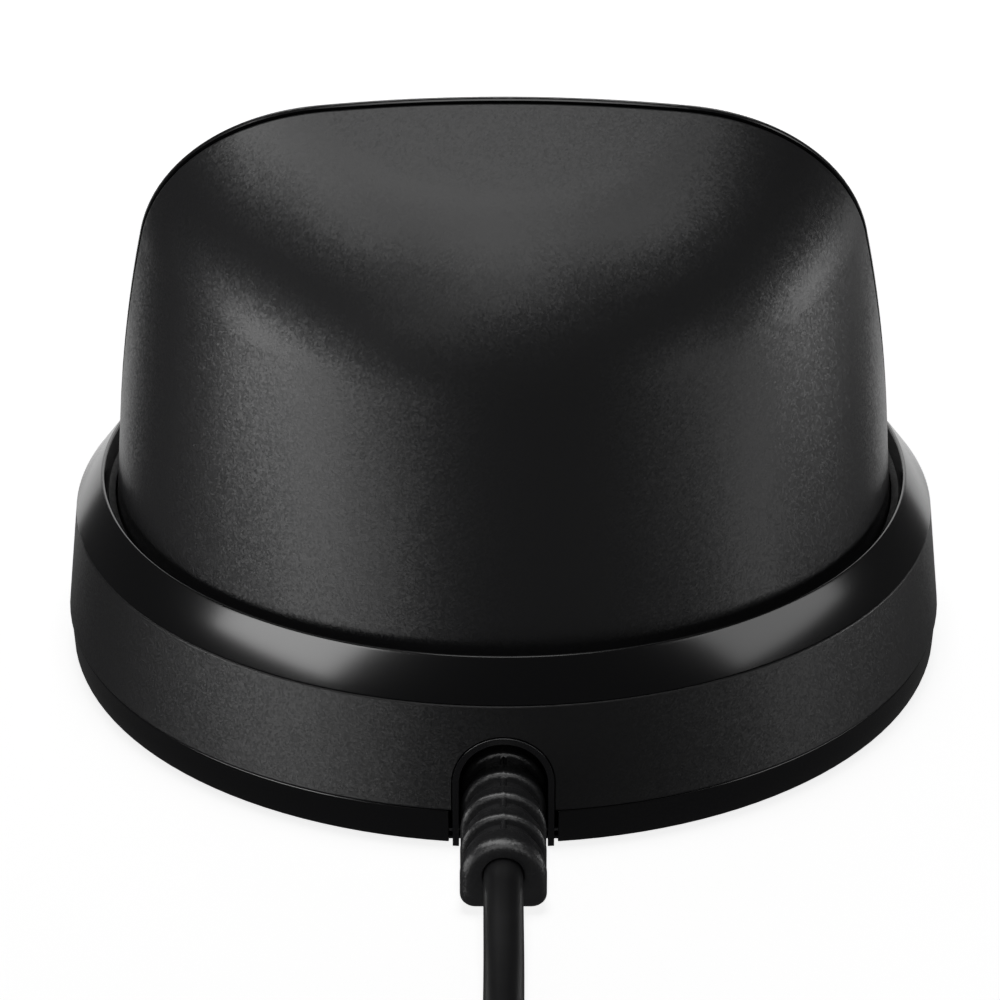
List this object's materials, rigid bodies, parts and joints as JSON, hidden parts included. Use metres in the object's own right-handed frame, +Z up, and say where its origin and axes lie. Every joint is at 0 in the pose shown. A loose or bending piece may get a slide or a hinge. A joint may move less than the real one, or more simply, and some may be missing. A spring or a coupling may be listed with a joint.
{
  "type": "smartwatch charging dock",
  "caption": "Wireless charging dock for a smartwatch: weighted round base with a gloss bevel ring, raised head with a leaning face, captive lead.",
  "frame": {"origin": "centre of the round base, on the plane it stands on", "axes": "+Z up; +Y towards the user, the way the charging face looks; -Y the way the lead leaves; +X to the right as seen from behind"},
  "size_m": [0.0685, 0.181, 0.0502],
  "materials": {
    "textured_shell": "spark-eroded grain, matt",
    "gloss_trim": "polished",
    "soft_shell": "fine satin grain",
    "pad_cover": "polished",
    "foot_rubber": "matt",
    "relief_rubber": "matt, slightly grained",
    "cord_jacket": "smooth satin",
    "plug_plastic": "satin",
    "light_pipe": "clear",
    "plated_steel": "nickel plated",
    "white_plastic": "matt",
    "gold_contact": "gold plated",
    "copper": "enamelled copper wire",
    "ferrite": "sintered",
    "inner_plastic": "moulded, matt",
    "screw_steel": "zinc plated",
    "wire_jacket": "smooth",
    "weight_steel": "stamped plate",
    "board": "solder mask",
    "chip_plastic": "moulded epoxy",
    "ceramic": "ceramic"
  },
  "bodies": {
    "root": {"base_housing": "textured_shell", "bezel_ring": "gloss_trim", "bottom_cover": "gloss_trim", "rubber_foot": "foot_rubber", "cable_collar": "gloss_trim", "rear_shell": "soft_shell", "front_cradle": "gloss_trim", "charge_pad": "pad_cover", "led_light_pipe": "light_pipe", "strain_relief": "relief_rubber", "lead_tube": "cord_jacket", "lead_coil": "cord_jacket", "lead_tail": "cord_jacket", "plug_body": "plug_plastic", "plug_shell": "plated_steel", "plug_tongue": "white_plastic", "plug_contacts": "gold_contact", "charging_coil": "copper", "ferrite_disc": "ferrite", "alignment_magnet": "plated_steel", "magnet_shield": "plated_steel", "coil_bracket": "inner_plastic", "coil_bracket_screws": "screw_steel", "coil_leads": "wire_jacket", "weight_plate": "weight_steel", "head_frame": "inner_plastic", "main_board": "board", "charge_controller": "chip_plastic", "power_inductor": "ferrite", "resonance_capacitors": "ceramic", "status_led": "white_plastic", "lead_connector": "white_plastic", "coil_connector": "white_plastic", "lead_inner": "cord_jacket", "lead_cores": "wire_jacket", "lead_clamp": "inner_plastic", "clamp_screws": "screw_steel", "base_screws": "screw_steel", "head_screws": "screw_steel", "frame_screws": "screw_steel", "board_screws": "screw_steel"}
  },
  "joints": []
}
